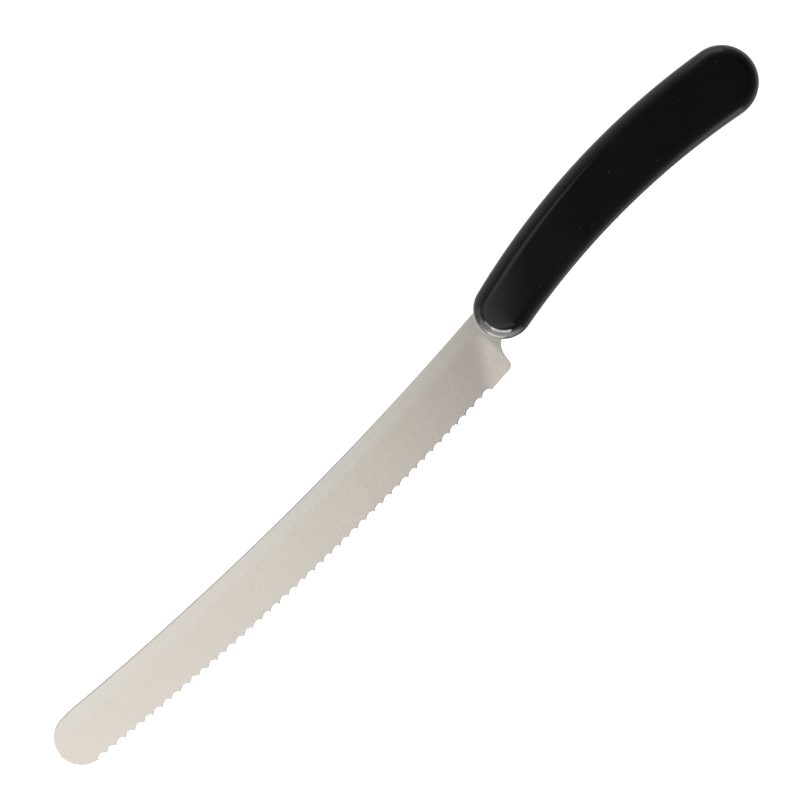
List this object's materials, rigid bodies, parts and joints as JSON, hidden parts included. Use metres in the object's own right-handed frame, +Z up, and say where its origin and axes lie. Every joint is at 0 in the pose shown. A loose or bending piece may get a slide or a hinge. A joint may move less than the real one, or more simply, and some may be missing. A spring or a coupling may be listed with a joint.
{
  "type": "bread knife",
  "caption": "Slim bread knife: long round-tipped steel blade with a scalloped edge and an integral tang, bonded and pinned between two curved glossy black handle halves.",
  "frame": {"origin": "under the middle of the whole knife's box, on the surface that the knife lies on", "axes": "+X along the knife from the blade's tip to the butt, +Y across it from the cutting edge to the spine, +Z up through the flat side that the knife lies on"},
  "size_m": [0.3254, 0.0354, 0.015],
  "materials": {
    "blade_steel": "satin, ground across the blade",
    "handle_black": "polished, lightly worn",
    "pin_steel": "turned",
    "adhesive": "cured epoxy"
  },
  "bodies": {
    "root": {"blade": "blade_steel", "handle_upper_half": "handle_black", "handle_lower_half": "handle_black", "tang_pin_front": "pin_steel", "tang_pin_middle": "pin_steel", "tang_pin_rear": "pin_steel", "tang_adhesive_upper": "adhesive", "tang_adhesive_lower": "adhesive"}
  },
  "joints": []
}
